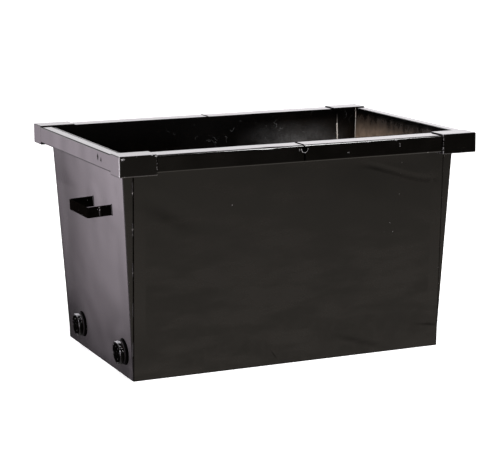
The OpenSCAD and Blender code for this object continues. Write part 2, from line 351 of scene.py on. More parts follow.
def link_work(name, work, paints):
    """An object for a bmesh, which is used up."""
    mesh = bpy.data.meshes.new(name)
    work.to_mesh(mesh)
    work.free()
    return link(name, mesh, paints)


def settle(piece, sharp_angle=35):
    """Points the faces outwards and smooths all but the sharp edges."""
    work = bmesh.new()
    work.from_mesh(piece.data)
    bmesh.ops.recalc_face_normals(work, faces=work.faces)
    work.to_mesh(piece.data)
    work.free()
    piece.data.shade_smooth()
    piece.data.set_sharp_from_angle(angle=math.radians(sharp_angle))
    return piece


def modify(piece, kind, **settings):
    """Adds a modifier to a piece."""
    modifier = piece.modifiers.new(kind, kind)
    for name, value in settings.items():
        setattr(modifier, name, value)


def bake_modifiers(piece):
    """Makes a piece's modifiers part of its mesh."""
    bpy.context.view_layer.update()
    graph = bpy.context.evaluated_depsgraph_get()
    mesh = bpy.data.meshes.new_from_object(piece.evaluated_get(graph))
    piece.modifiers.clear()
    piece.data = mesh
    return piece


def carve(piece, cutters):
    """Cuts the cutters out of a piece, and removes them."""
    for cutter in cutters:
        modify(piece, "BOOLEAN", operation="DIFFERENCE", solver="EXACT", object=cutter)
    settle(bake_modifiers(piece))
    for cutter in cutters:
        bpy.data.objects.remove(cutter)


def ease(piece, width, angle=50):
    """Rounds a piece's sharp edges a little, as paint and handling do."""
    modify(piece, "BEVEL", width=width, segments=2, limit_method="ANGLE", angle_limit=math.radians(angle),
           use_clamp_overlap=True)
    return flatten(settle(bake_modifiers(piece)))


def flatten(piece):
    """Keeps a piece's broad faces flat in the light, and leaves the bending to its narrow ones."""
    modify(piece, "WEIGHTED_NORMAL", keep_sharp=True, weight=100)
    return bake_modifiers(piece)


def rod(place, radius, reach):
    """A plain round cutter along a place's X direction, to reach either side of it."""
    shell = Shell()
    circle = arc((0, 0), radius, 0, 360, 64)[:-1]
    shell.bar([[placed(place, x, a, b) for a, b in circle] for x in (-reach, reach)])
    return shell.make("cutter", [])


def lathe(shell, place, profile, segments, shape=None):
    """Turns a profile of (radius, distance out) round a place's X direction. shape may change a radius.

    A profile that starts and ends on the axis gives a solid with flat ends, any other gives a ring.
    """
    rings = []
    for radius, out in profile:
        ring = []
        for i in range(segments):
            angle = 2 * math.pi * i / segments
            reach = shape(radius, out, angle) if shape else radius
            ring.append(placed(place, out, reach * math.cos(angle), reach * math.sin(angle)))
        rings.append(ring)
    solid = profile[0][0] == 0
    shell.bar(rings[1:-1] if solid else rings, closed=not solid)


def bead(shell, path, radius_a, radius_b, sweep=90, pitch=BEAD_PITCH, closed=False, seed=0):
    """A rippled weld bead along a path of (point, direction a, direction b), round from a to b."""
    length = 0
    places = [0]
    for (p, _, _), (q, _, _) in zip(path, path[1:]):
        length += (q - p).length
        places.append(length)
    angles = [math.radians(a) for a in steps(0, sweep, 6)]
    rings = []
    for place, (point, a, b) in zip(places, path):
        ends = min(place, length - place) / max(radius_a, radius_b)
        taper = 1 if closed else math.sqrt(max(0.04, 1 - max(0, 1 - ends) ** 2))
        swell = 1 + SWELL * uneven(place, seed, SWELL_L, seed)
        ring = []
        for t in angles:
            lag = RIPPLE_LAG * pitch * math.sin(2 * t)
            scale = 1 + RIPPLE * math.sin(2 * math.pi * (place + lag) / pitch)
            scale *= taper * swell * BEAD_FILL
            ring.append(point + a * (radius_a * scale * math.cos(t)) + b * (radius_b * scale * math.sin(t)))
        if sweep < 180:
            ring.append(point - (a + b) * BEAD_SINK)
        rings.append(ring)
    shell.bar(rings, closed)


def straight(start, end, a, b, step=0.0006):
    """A bead's path along a straight line, its two directions the same all the way."""
    count = max(4, round((end - start).length / step))
    return [(start.lerp(end, t), a, b) for t in steps(0, 1, count)]


def spatter(shell, centre, along, across, out, spread, count, rng):
    """Drops of weld spatter scattered on a surface about a point."""
    for _ in range(count):
        place = centre + along * rng.uniform(-spread[0], spread[0]) + across * rng.gauss(0, spread[1])
        shell.blob(place, rng.uniform(0.0004, 0.0012), out)


def show(piece, node, mirrored=True):
    """Puts a piece in a CAD node's place. The walls show no mirror image of it unless it is mirrored."""
    piece.visible_glossy = mirrored
    body = frame["nodes"][node]["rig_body"]
    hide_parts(node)
    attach(piece, body)


# ---- Materials ----

class Value:
    """A node's output. Sums written with it add the nodes that work them out."""

    def __init__(self, graph, socket):
        self.graph = graph
        self.socket = socket

    def calc(self, operation, other=0.0):
        """One sum on this value and another."""
        new = self.graph.tree.nodes.new("ShaderNodeMath")
        new.operation = operation
        self.graph.feed(new.inputs[0], self)
        self.graph.feed(new.inputs[1], other)
        return Value(self.graph, new.outputs[0])

    def __add__(self, other):
        return self.calc("ADD", other)

    def __sub__(self, other):
        return self.calc("SUBTRACT", other)

    def __mul__(self, other):
        return self.calc("MULTIPLY", other)

    def __abs__(self):
        return self.calc("ABSOLUTE")

    def between(self, low, high, start=0.0, end=1.0):
        """start where this is at low, end where it is at high, and a soft slope between them."""
        new = self.graph.add("ShaderNodeMapRange", Value=self)
        new.interpolation_type = "SMOOTHSTEP"
        for name, number in (("From Min", low), ("From Max", high), ("To Min", start), ("To Max", end)):
            new.inputs[name].default_value = number
        return Value(self.graph, new.outputs["Result"])

    def near(self, middle, reach):
        """1 where this is at the middle, fading to 0 at reach either side of it."""
        return abs(self - middle).between(reach, 0.0)

    def grade(self, low, high):
        """Runs from low to high as this runs from 0 to 1."""
        return self * (high - low) + low


def most(first, *others):
    """The largest of the values."""
    for other in others:
        first = first.calc("MAXIMUM", other)
    return first


class Graph:
    """A node tree, and the coordinates that its patterns are drawn from."""

    def __init__(self, tree, coordinates):
        self.tree = tree
        self.place = tree.nodes.new("ShaderNodeTexCoord").outputs[coordinates]
        split = self.add("ShaderNodeSeparateXYZ", Vector=self.place)
        self.x, self.y, self.z = [Value(self, split.outputs[axis]) for axis in "XYZ"]

    def feed(self, socket, value):
        """Sets a socket to a number or colour, or links another node's output to it."""
        value = value.socket if isinstance(value, Value) else value
        if isinstance(value, bpy.types.NodeSocket):
            self.tree.links.new(value, socket)
        elif socket.type == "RGBA" and len(value) == 3:
            socket.default_value = (*value, 1)
        else:
            socket.default_value = value

    def add(self, kind, **inputs):
        """A new node with some of its inputs fed by name."""
        new = self.tree.nodes.new(kind)
        for name, value in inputs.items():
            self.feed(new.inputs[name], value)
        return new

    def texture(self, kind, sizes, **inputs):
        """A texture node whose pattern has these sizes along the axes, in metres."""
        scaled = self.add("ShaderNodeMapping", Vector=self.place, Scale=[1 / size for size in sizes])
        return self.add(kind, Vector=scaled.outputs["Vector"], Scale=1, **inputs)

    def noise(self, size, detail=3, stretch=(1, 1, 1)):
        """Cloudy noise whose patches are about size metres, stretched along the axes."""
        sizes = [size * s for s in stretch]
        cloud = self.texture("ShaderNodeTexNoise", sizes, Detail=detail, Roughness=0.55)
        return Value(self, cloud.outputs["Fac"])

    def dots(self, size, radius):
        """1 inside dots scattered about size metres apart, their radius a share of that."""
        cells = self.texture("ShaderNodeTexVoronoi", [size] * 3)
        return Value(self, cells.outputs["Distance"]).between(radius, radius * 0.6)

    def over(self, amount, under, top):
        """Colour top laid over colour under by an amount of 0 to 1."""
        new = self.tree.nodes.new("ShaderNodeMix")
        new.data_type = "RGBA"
        for i, value in ((0, amount), (6, under), (7, top)):
            self.feed(new.inputs[i], value)
        return Value(self, new.outputs[2])

    def flecks(self, u, v, places, ragged):
        """1 in flecks about each place on the plane of two coordinates, thinning out away from it.

        A place is its middle along u and v, and half its size along them.
        """
        spots = []
        for middle_u, middle_v, half_u, half_v in places:
            across = (u - middle_u) * (1 / half_u)
            down = (v - middle_v) * (1 / half_v)
            far = across * across + down * down
            spots.append((far * 0.35 + ragged).between(0.64, 0.54))
        return most(*spots)

    def stroke(self, u, v, start, end, width):
        """1 along a straight stroke on the plane of two coordinates, fading out at its sides and ends."""
        length = math.dist(start, end)
        run_u, run_v = (end[0] - start[0]) / length, (end[1] - start[1]) / length
        du, dv = u - start[0], v - start[1]
        aside = du * run_v - dv * run_u
        along = du * run_u + dv * run_v
        return aside.near(0, width) * along.near(length / 2, 0.7 * length)


class Paint(Graph):
    """One procedural material, built in a piece's own coordinates."""

    def __init__(self, name, gloss=0.5):
        self.material = bpy.data.materials.new(name)
        self.material.use_nodes = True
        super().__init__(self.material.node_tree, "Object")
        self.shader = self.tree.nodes["Principled BSDF"]
        self.shader.inputs["Specular IOR Level"].default_value = gloss
        self.colour = ENAMEL
        self.rough = 0.5
        self.metal = 0.0
        self.normal = None

    def lay(self, amount, colour):
        """Lays a colour over the paint's own, by an amount of 0 to 1."""
        self.colour = self.over(amount, self.colour, colour)

    def bump(self, height, distance, strength=1.0):
        """Raises the surface by height times distance, on top of the bumps so far."""
        new = self.add("ShaderNodeBump", Height=height, Distance=distance, Strength=strength)
        if self.normal:
            self.feed(new.inputs["Normal"], self.normal)
        self.normal = new.outputs["Normal"]

    def finish(self):
        """Feeds the shader, and returns the material."""
        self.feed(self.shader.inputs["Base Color"], self.colour)
        self.feed(self.shader.inputs["Roughness"], self.rough)
        self.feed(self.shader.inputs["Metallic"], self.metal)
        if self.normal:
            self.feed(self.shader.inputs["Normal"], self.normal)
        return self.material


BLACK = (0.0, 0.0, 0.0)
ENAMEL = (0.0028, 0.0023, 0.0018)
ENAMEL_WORN = (0.0060, 0.0052, 0.0046)
ENAMEL_BROWN = (0.012, 0.008, 0.005)
ENAMEL_BURNT = (0.006, 0.005, 0.0045)
PLASTIC = (0.0008, 0.0007, 0.0006)
PLASTIC_WORN = (0.0022, 0.0019, 0.0016)
RUBBER = (0.012, 0.012, 0.012)
RUBBER_BLOOM = (0.035, 0.034, 0.033)
DUST = (0.115, 0.106, 0.098)
MUD = (0.460, 0.350, 0.255)
DARK_MUD = (0.030, 0.023, 0.019)
LIME = (0.42, 0.43, 0.44)
PRIMER = (0.30, 0.30, 0.31)
# Pale silt, painted as highlights along the inner folds, flange edges and sealing beads.
SILT_HIGHLIGHT = (0.88, 0.84, 0.77)
# Pale colour for painted highlights on the corner caps and drain caps, and for the pale marks round the
# vent hole.
PALE_MARK_AND_HIGHLIGHT = (0.85, 0.85, 0.88)
BARE_STEEL = (0.55, 0.54, 0.53)
RUST = (0.110, 0.045, 0.018)


class Enamel(Paint):
    """Brushed black enamel, before any wear. Its roughness runs from low to high."""

    def __init__(self, name, low, high, gloss=0.5):
        super().__init__(name, gloss)
        cloud = self.noise(0.11, 4)
        grain = self.noise(0.006, 3)
        self.colour = self.over(cloud.between(0.35, 0.75), ENAMEL, ENAMEL_WORN)
        self.rough = (cloud * 0.6 + grain * 0.4).grade(low, high)
        self.bump(self.noise(0.0035, 2), 0.00004)

    def specks(self):
        """Small chips through the enamel, here and there."""
        fine = self.dots(0.016, 0.09) * self.noise(0.09, 2).between(0.66, 0.74)
        coarse = self.dots(0.060, 0.035) * self.noise(0.3, 2).between(0.56, 0.62)
        return most(fine, coarse)


# Chips in the front panel: middle along X, height, and half their length and height
FRONT_CHIPS = (
    (0.353, 0.397, 0.0028, 0.0028),
    (0.342, 0.428, 0.0028, 0.0028),
    (0.373, 0.520, 0.0028, 0.0028),
)

# Folds in the front panel: both ends (along X, height), width and depth. A crease low in the middle,
# a hollow high on the left and two low on the right
FRONT_FOLDS = (
    ((-0.074, 0.061), (-0.039, 0.011), 0.005, 0.0005),
    ((-0.500, 0.575), (-0.290, 0.460), 0.050, 0.0008),
    ((0.080, 0.115), (0.430, 0.000), 0.032, 0.0011),
    ((0.430, 0.090), (0.560, 0.076), 0.016, 0.0007),
)

# The end panels look slightly bowed out between their folds, to about this radius
END_BOW_R = 8.2


def sheet_curl(paint):
    """A shallow curl high on the right of the long panels, which runs down beside the flange."""
    x, z = paint.x, paint.z
    curl = (z - x.between(0.20, 0.50, 0.628, 0.562)).near(0, 0.016)
    curl *= x.between(0.20, 0.32) * x.between(0.52, 0.49)
    fall = x.near(FLANGE_X, 0.014) * z.between(0.40, 0.50) * z.between(0.59, 0.56)
    return most(curl, fall)


def sheet_dust(paint, front):
    """How dusty the tank's outer faces are: runs, splashes, smears and streaks, and a pale stripe over the
    flanges and end panels that is partly dust and partly painted reflection.
    """
    x, z = paint.x, paint.z
    runs = paint.noise(0.012, 3, (1, 1, 26)).between(0.50, 0.78) * 0.012
    splash = z.between(0.24, 0.0) * paint.noise(0.035, 5).between(0.35, 0.80) * front.grade(0.06, 0.13)
    # Partly dust and partly painted reflection: a pale stripe over the flanges and the end panels, from low
    # to middle heights.
    flange_dust_and_sheen = abs(x).between(FLANGE_X - 0.002, FLANGE_X + 0.002) * z.between(0.545, 0.525)
    flange_dust_and_sheen *= z.between(0.05, 0.25)
    smears = paint.noise(0.050, 4, (3.5, 1, 1)).between(0.40, 0.66) * front.grade(0.03, 0.12)
    streaks = paint.noise(0.005, 2, (1, 16, 1)).between(0.50, 0.66) * z.near(0.21, 0.08)
    return most(runs, splash, flange_dust_and_sheen * 0.10, smears, streaks * x.between(-0.50, -0.53) * 0.16)


def tank_outside():
    """Outer faces of the tank: satin enamel, dusty towards the ground, with folds and chips."""
    paint = Enamel("tank_outside", 0.08, 0.15)
    front = paint.y.between(-0.25, -0.30)
    paint.bump(paint.y * paint.y, -1 / (2 * END_BOW_R))
    paint.bump(sheet_curl(paint), -0.00022)
    dust = sheet_dust(paint, front)
    paint.lay(dust, DUST)
    paint.rough += dust * 0.8
    marks = paint.flecks(paint.x, paint.z, FRONT_CHIPS, paint.noise(0.003, 3))
    chips = most(paint.specks(), marks * front * 0.8)
    paint.lay(chips, PRIMER)
    paint.bump(chips, -0.00012)
    for start, end, width, depth in FRONT_FOLDS:
        paint.bump(paint.stroke(paint.x, paint.z, start, end, width) * front, -depth)
    return paint.finish()


def water_marks(paint, lime):
    """How chalky the inner faces are: fine curls and a pale bloom, by lime, and rings round the walls."""
    x, z = paint.x, paint.z
    thin = abs(paint.noise(0.035, 2) - 0.5).between(0.008, 0.002)
    curls = thin * paint.noise(0.05, 2).between(0.56, 0.64) * x.near(0.20, 0.5) * 0.5
    bloom = x.near(0.32, 0.24) * z.between(0.69, 0.585) * paint.noise(0.003, 4).between(-0.20, 0.90)
    bloom *= paint.noise(0.06, 3).between(0.1, 0.7) * 0.55
    rings = paint.noise(0.02, 4, (14, 14, 1)).between(0.55, 0.75, 0.0, 0.25) * z.between(0.60, 0.50)
    return most(most(curls, bloom) * lime, rings)


def edge_silt_highlight(paint, corner_silt_highlight):
    """How much pale silt is painted on the inner faces, standing in for highlights: along the folds, scaled
    by the second argument, and along the flanges' edges.
    """
    x, z = paint.x, paint.z
    wide = abs(paint.y) - z * SIDE_SLOPE
    corner = wide.between(INSIDE_HALF_W - 0.006, INSIDE_HALF_W - 0.003) * corner_silt_highlight
    lap = x.near(FLANGE_X, 0.0016) * z.between(0.70, 0.64)
    return most(corner, lap) * paint.noise(0.010, 4).between(0.26, 0.42) * z.between(0.71, 0.68)


def tank_inside(name, mud_level, lime, corner_silt_highlight):
    """Inner faces: the enamel darkened by painted shade, mud that runs from dark at the top to pale lower
    down, dried water marks, and pale silt painted along the sheets' edges as their highlights.
    """
    paint = Enamel(name, 0.08, 0.20)
    z = paint.z
    # Painted shade: the inside enamel is laid 70% towards black, darker than the same enamel outside.
    paint.lay(0.7, BLACK)
    # The mud stops short of the top edge and runs from dark at its top to pale lower down.
    level = z + (paint.noise(0.022, 6, (1, 1, 2.5)) - 0.5) * 0.14
    mud = level.between(mud_level, mud_level - 0.10) * z.between(0.708, 0.688)
    film = paint.noise(0.02, 6)
    paler_down = z.between(mud_level - 0.02, mud_level - 0.14) * film.between(0.30, 0.65, 0.7, 1.15)
    paint.lay(mud, paint.over(paler_down, DARK_MUD, MUD))
    chalk = water_marks(paint, lime)
    paint.lay(chalk, LIME)
    # Painted highlights: pale silt along the folds and the flanges' edges.
    silt = edge_silt_highlight(paint, corner_silt_highlight)
    paint.lay(silt, SILT_HIGHLIGHT)
    paint.rough += most(mud, chalk, silt) * 0.35
    paint.bump(film * mud, 0.0008, 0.6)
    return paint.finish()


def silt_highlight_line():
    """Pale silt painted in the folds and along the sealing beads, standing in for their highlights."""
    paint = Enamel("silt_highlight_line", 0.30, 0.45)
    grain = paint.noise(0.006, 5, (1, 1, 4))
    paint.lay(grain.between(0.20, 0.42), SILT_HIGHLIGHT)
    paint.rough = 0.7
    paint.bump(grain, 0.0004, 0.6)
    return paint.finish()


def base_inside():
    """The trough's floor: silt that dried in patches over the enamel."""
    paint = Enamel("base_inside", 0.35, 0.6)
    silt = paint.noise(0.12, 6)
    cover = silt.between(0.36, 0.50)
    paint.lay(cover, paint.over(paint.noise(0.03, 5).between(0.35, 0.7), DARK_MUD, MUD))
    paint.lay(paint.noise(0.05, 5).between(0.62, 0.72), RUST)
    paint.rough += cover * 0.3
    paint.bump(silt, 0.0015, 0.6)
    return paint.finish()


# Scuffs on the front rim's face: middle along X, height, and half their length and height
RIM_SCUFFS = (
    (0.212, 0.7070, 0.020, 0.0022),
    (0.149, 0.6770, 0.005, 0.0040),
    (0.316, 0.7060, 0.008, 0.0020),
    (0.328, 0.6900, 0.004, 0.0080),
    (0.428, 0.6600, 0.004, 0.0020),
    (-0.017, 0.6950, 0.003, 0.0060),
)

# Dents and a rub in the left end rim's face: middle along Y, height, and half their length and height
END_RIM_DENTS = (
    (-0.232, 0.6890, 0.0100, 0.0150),
    (-0.262, 0.6840, 0.0090, 0.0090),
    (-0.345, 0.6610, 0.0060, 0.0040),
)
END_RIM_RUB = ((-0.304, 0.6850, 0.0120, 0.0180),)


def pale_vent_lip(paint):
    """Pale marks on the rim's face round the lower half of the vent hole."""
    hole = paint.z - VENT_Z
    far = (hole * hole + paint.x * paint.x).calc("SQRT")
    ring = far.between(VENT_R + 0.0024, VENT_R + 0.0012) * far.between(VENT_R, VENT_R + 0.0004)
    return ring * paint.noise(0.0026, 2).between(0.40, 0.50) * hole.between(0.003, -0.001)


def rim_paint():
    """The rim: glossier enamel, rubbed along its top edges, pale round the lower half of the vent hole."""
    paint = Enamel("rim_paint", 0.05, 0.14)
    x, y, z = paint.x, paint.y, paint.z
    ragged = paint.noise(0.004, 3)
    front = y.between(-0.40, -0.42)
    left_end = x.between(-0.590, -0.596)
    edge = z.between(RIM_TOP - 0.0035, RIM_TOP - 0.0012) * abs(y).between(RIM_OUT - 0.004, RIM_OUT - 0.001)
    rubbed = edge * paint.noise(0.045, 4).between(0.50, 0.68) * 0.5
    scuffs = paint.flecks(x, z, RIM_SCUFFS, ragged) * front * 0.8
    bare = most(scuffs, rubbed, paint.specks() * 0.5)
    dents = paint.flecks(y, z, END_RIM_DENTS, ragged) * left_end
    rub = paint.flecks(y, z, END_RIM_RUB, ragged) * left_end
    dusty = z.between(RIM_TOP - 0.004, RIM_TOP) * paint.noise(0.07, 4).between(0.3, 0.8)
    paint.lay(dusty * 0.08, DUST)
    paint.lay(bare, PRIMER)
    paint.lay(pale_vent_lip(paint) * front, PALE_MARK_AND_HIGHLIGHT)
    paint.lay(rub * 0.25, DUST)
    paint.rough += most(bare * 0.12, dents * 0.75)
    paint.bump(dents, -0.0008)
    paint.bump(bare, -0.00015)
    return paint.finish()


def cap_paint():
    """The corner caps: the same enamel, knocked on its edges, and pale at the left caps' folds and hems,
    partly from wear and partly as painted highlights.
    """
    paint = Enamel("cap_paint", 0.06, 0.16)
    x, z = paint.x, paint.z
    from_side = abs(paint.y) + CAP_LOW.y
    from_end = abs(x) + CAP_LOW.x
    top = z.between(CAP_HIGH.z - 0.004, CAP_HIGH.z - 0.001)
    hem = z.between(CAP_LOW.z + 0.004, CAP_LOW.z + 0.001)
    side = from_side.between(-0.005, -0.002)
    end = from_end.between(-0.005, -0.002)
    edge = most(most(top, hem) * most(side, end), side * end)
    knocks = edge * paint.noise(0.012, 4).between(0.60, 0.70)
    mouth = abs(x).between(CAP_MOUTH + 0.004, CAP_MOUTH + 0.001) * paint.noise(0.006, 3).between(0.50, 0.58)
    bare = most(knocks, mouth, paint.specks() * 0.6)
    # Painted highlights, partly wear: pale lines along the left caps' vertical folds and hems, and two pale
    # spots near their tops, one of them a glint.
    fold = from_side.between(-0.0030, -0.0010) * from_end.between(-0.0028, -0.0012)
    spots = ((-CAP_MOUTH - 0.003, CAP_HIGH.z - 0.004, 0.0070, 0.0035),
             (CAP_LOW.x + 0.012, CAP_HIGH.z - 0.009, 0.0080, 0.0050))
    spots = paint.flecks(x, z, spots, paint.noise(0.003, 3)) * side
    wear_and_highlight = most(fold, hem * side * 0.12, spots) * x.between(-0.40, -0.45)
    paint.lay(paint.noise(0.006, 4, (10, 10, 1)).between(0.68, 0.74, 0.0, 0.25), DUST)
    paint.lay(bare, PRIMER)
    paint.lay(wear_and_highlight, PALE_MARK_AND_HIGHLIGHT)
    paint.rough += bare * 0.2
    paint.bump(bare, -0.00015)
    return paint.finish()


def dull_paint(name):
    """The handles and the sheets' cut edges: brown-black enamel, rough, with wear. On strips beside the
    long panels' seams and along the panels' feet it is painted shade.
    """
    paint = Enamel(name, 0.30, 0.45, gloss=0.0)
    paint.lay(paint.noise(0.02, 4).between(0.52, 0.75) * 0.25, ENAMEL_BROWN)
    chips = paint.dots(0.009, 0.16) * paint.noise(0.03, 2).between(0.55, 0.65)
    paint.lay(chips, PRIMER)
    paint.bump(chips, -0.0002)
    return paint.finish()


def socket_paint():
    """The drain sockets: enamelled steel with a little rust."""
    paint = Enamel("socket_paint", 0.25, 0.45, gloss=0.03)
    paint.lay(0.75, BLACK)
    rust = paint.noise(0.008, 5).between(0.60, 0.72)
    paint.lay(rust * 0.05, RUST)
    paint.bump(rust, 0.0002)
    return paint.finish()


def drain_cap_paint(name, gloss, glints, low, high):
    """The drain caps: black moulded plastic, finely pitted, with glints painted on the ribs of its upper
    half and round its top edge.
    """
    paint = Paint(name, gloss)
    cloud = paint.noise(0.01, 4)
    paint.colour = paint.over(cloud, PLASTIC, PLASTIC_WORN)
    # Painted glints: pale flecks on the upper ribs and a pale ring round the top edge, by the glints
    # amount.
    painted_rib_glint = paint.noise(0.004, 3).between(0.58, 0.64) * paint.z.between(0.082, 0.096)
    paint.lay(most(painted_rib_glint, paint.z.between(0.1115, 0.1135)) * glints, PALE_MARK_AND_HIGHLIGHT)
    paint.rough = cloud.grade(low, high)
    paint.bump(paint.noise(0.0008, 2), 0.00005)
    return paint.finish()


def gasket_rubber():
    """The gaskets: matt black rubber with a dusty bloom."""
    paint = Paint("gasket_rubber")
    paint.colour = paint.over(paint.noise(0.004, 4), RUBBER, RUBBER_BLOOM)
    paint.rough = paint.noise(0.003, 3).grade(0.6, 0.85)
    paint.bump(paint.noise(0.0006, 2), 0.00006)
    return paint.finish()


def weld_paint(name, bright, gloss, soot):
    """Weld beads under thin enamel, bare and bright on some of their ripples."""
    paint = Enamel(name, 0.25, 0.5, gloss)
    paint.lay(paint.noise(0.015, 3).between(0.45, 0.65), ENAMEL_BURNT)
    paint.lay(soot, BLACK)
    rare = 0.64 - 0.08 * bright
    bare = paint.noise(0.0032, 3).between(rare, rare + 0.06) * paint.noise(0.03, 2).between(0.54, 0.62)
    paint.lay(bare, BARE_STEEL)
    paint.rough += bare * 0.05
    paint.metal = bare * 0.35
    return paint.finish()


def pale_floor():
    """The studio's floor: almost white, glowing a little, and barely cloudy."""
    paint = Paint("pale_floor")
    paint.colour = paint.over(paint.noise(1.5, 2), (0.93, 0.93, 0.93), (0.96, 0.96, 0.96))
    paint.rough = 0.9
    paint.shader.inputs["Emission Color"].default_value = (1, 1, 1, 1)
    paint.shader.inputs["Emission Strength"].default_value = 0.6
    return paint.finish()


PAINTS = {
    "outside": tank_outside(),
    "inside": tank_inside("tank_inside", 0.60, 0.75, 0.0),
    # Pale silt paint for the inner folds and sealing beads, a painted highlight.
    "silt": silt_highlight_line(),
    "inside_muddy": tank_inside("tank_inside_muddy", 0.728, 0.15, 1.0),
    "base": base_inside(),
    "rim": rim_paint(),
    "cap": cap_paint(),
    "handle": dull_paint("handle_paint"),
    "cut_edge_and_seam_shade": dull_paint("cut_edge_and_seam_shade_paint"),
    "socket": socket_paint(),
    "drain_cap": drain_cap_paint("drain_cap_skirt", 0.10, 0.8, 0.06, 0.16),
    "drain_cap_edge": drain_cap_paint("drain_cap_edge", 0.8, 0.8, 0.05, 0.12),
    "drain_cap_face": drain_cap_paint("drain_cap_face", 0.0, 0.0, 0.45, 0.60),
    "gasket": gasket_rubber(),
    "weld": weld_paint("weld_bright", 1.0, 0.5, 0.0),
    "weld_dull": weld_paint("weld_dull", 0.2, 0.0, 0.8),
    "floor": pale_floor(),
}


# ---- Tank ----

DENT = 0.0011
EDGE_FADE = 0.09
FLANGE_STEP = 0.00025
FLAT_ROUND_DRAIN = 0.012
FLAT_ROUND_LUG = 0.03
BELLY = 0.0012
GRID = 0.012
SEAM = 0.0024
FOOT_H = 0.0022


def wall_heights():
    """Heights of the rows of points up a wall, one of them just above its bottom edge, bounding the strip
    of painted shade along the foot.
    """
    rows = steps(0, PANEL_TOP, round(PANEL_TOP / GRID))
    return [0, FOOT_H] + rows[1:]


def waves(a, b, broad, narrow, seed):
    """Soft waves of about 0 to 1 across a sheet: broad ones with weaker, narrow ones over them."""
    return 0.5 + 0.5 * uneven(a, b, broad, seed) + 0.16 * uneven(a, b, narrow, seed + 5)


def long_dent(x, z, seed):
    """How far a long panel is pulled in: soft waves between the flanges, flat over them."""
    over_flange = smooth((abs(x) - FLANGE_X) / 0.006 + 0.5)
    fade = smooth(min(z, PANEL_TOP - z) / EDGE_FADE)
    fade *= smooth((FLANGE_X - abs(x)) / 0.06)
    return (1 - over_flange) * (FLANGE_STEP + DENT * fade * waves(x, z, 0.28, 0.10, seed))


def end_dent(y, z, seed, flats):
    """How far an end panel is pulled in, none of it at its edges or round the places in flats."""
    fade = smooth(min(z, PANEL_TOP - z, side_y(z) - 0.01 - abs(y)) / EDGE_FADE)
    for flat_y, flat_z, reach in flats:
        fade *= smooth((math.hypot(y - flat_y, z - flat_z) - reach) / 0.05)
    return DENT * fade * waves(y, z, 0.24, 0.09, seed)


def long_panel(node, side):
    """A long panel: one sloping sheet, uneven as thin welded sheet is."""
    columns = steps(-PANEL_HALF_L, PANEL_HALF_L, round(2 * PANEL_HALF_L / GRID))
    columns += [s * (FLANGE_X + d) for s in BOTH for d in (-0.003, 0, 0.003)]
    columns += [s * (PANEL_HALF_L - SEAM) for s in BOTH]
    columns = sorted(set(columns))
    outer = []
    inner = []
    for z in wall_heights():
        reach = [side_y(z) - long_dent(x, z, 3 + side) for x in columns]
        outer.append([Vector((x, side * y, z)) for x, y in zip(columns, reach)])
        inner.append([Vector((x, side * (y - SHEET_ACROSS), z)) for x, y in zip(columns, reach)])
    shell = Shell()
    shell.sheet(outer, inner, 2)
    piece = shell.make(node + "_sheet", ["outside", "inside", "cut_edge_and_seam_shade"])
    # Painted shade: strips SEAM wide at the panel's ends and FOOT_H high along its foot take the matt
    # cut-edge paint, standing in for the dark gaps at the seams and the shade along the floor.
    for face in piece.data.polygons:
        if abs(face.center.x) > PANEL_HALF_L - SEAM or face.center.z < FOOT_H:
            face.material_index = 2
    show(ease(piece, 0.0006), node)


def folded_plan(z, inset, seed, flats):
    """Plan of an end panel at one height, its inner or outer face: flange, fold, web, fold and flange."""
    x = end_x(z) - inset
    y = side_y(z) - SHEET_ACROSS - inset
    radius = FOLD_R - inset
    flange = [(a, -y) for a in steps(FLANGE_X, x - radius, 5)]
    fold = arc((x - radius, -y + radius), radius, -90, 0, 6)
    count = round(2 * BASE_HALF_W / GRID)
    web = [(x - end_dent(b, z, seed, flats), b) for b in steps(-y + radius, y - radius, count)]
    near = flange[:-1] + fold[:-1]
    return near + web + [(a, -b) for a, b in reversed(near)]


def end_panel(node, side, flats, holes, inside):
    """An end panel: a sloping web with its two upright edges folded back along the long panels."""
    grids = []
    for inset in (0, SHEET):
        plans = [(z, folded_plan(z, inset, 9 + side, flats)) for z in wall_heights()]
        grids.append([[Vector((side * x, y, z)) for x, y in plan] for z, plan in plans])
    shell = Shell()
    shell.sheet(*grids)
    piece = shell.make(node + "_sheet", ["outside", inside, "inside", "silt", "cut_edge_and_seam_shade"])
    for face in piece.data.polygons:
        # Painted shade: the strip along the foot takes the matt cut-edge paint, standing in for the shade
        # along the floor.
        if face.center.z < FOOT_H:
            face.material_index = 4
        # The inner folds take the pale silt paint, which stands in for their highlight.
        elif face.material_index == 1 and abs(face.normal.y) > 0.15:
            face.material_index = 2 if abs(face.normal.y) > 0.95 else 3
    if holes:
        carve(piece, [rod(on_end(side, y, DRAIN_UP), TAIL_R + 0.0001, 0.02) for y in DRAINS.values()])
    show(ease(piece, 0.0005), node)


def tray_profile(reach, slope):
    """A section of the base tray's outer face, from edge to edge: turned-up edges, folds and the flat."""
    foot = reach - TRAY_FOLD_R
    half = [(t, 0) for t in steps(0, foot, round(foot / 0.02))]
    half += arc((foot, TRAY_FOLD_R), TRAY_FOLD_R, -90, 0, 4)[1:]
    half += [(reach + slope * z, z) for z in steps(TRAY_FOLD_R, TURN_UP, 3)[1:]]
    return [(-a, z) for a, z in reversed(half[1:])] + half


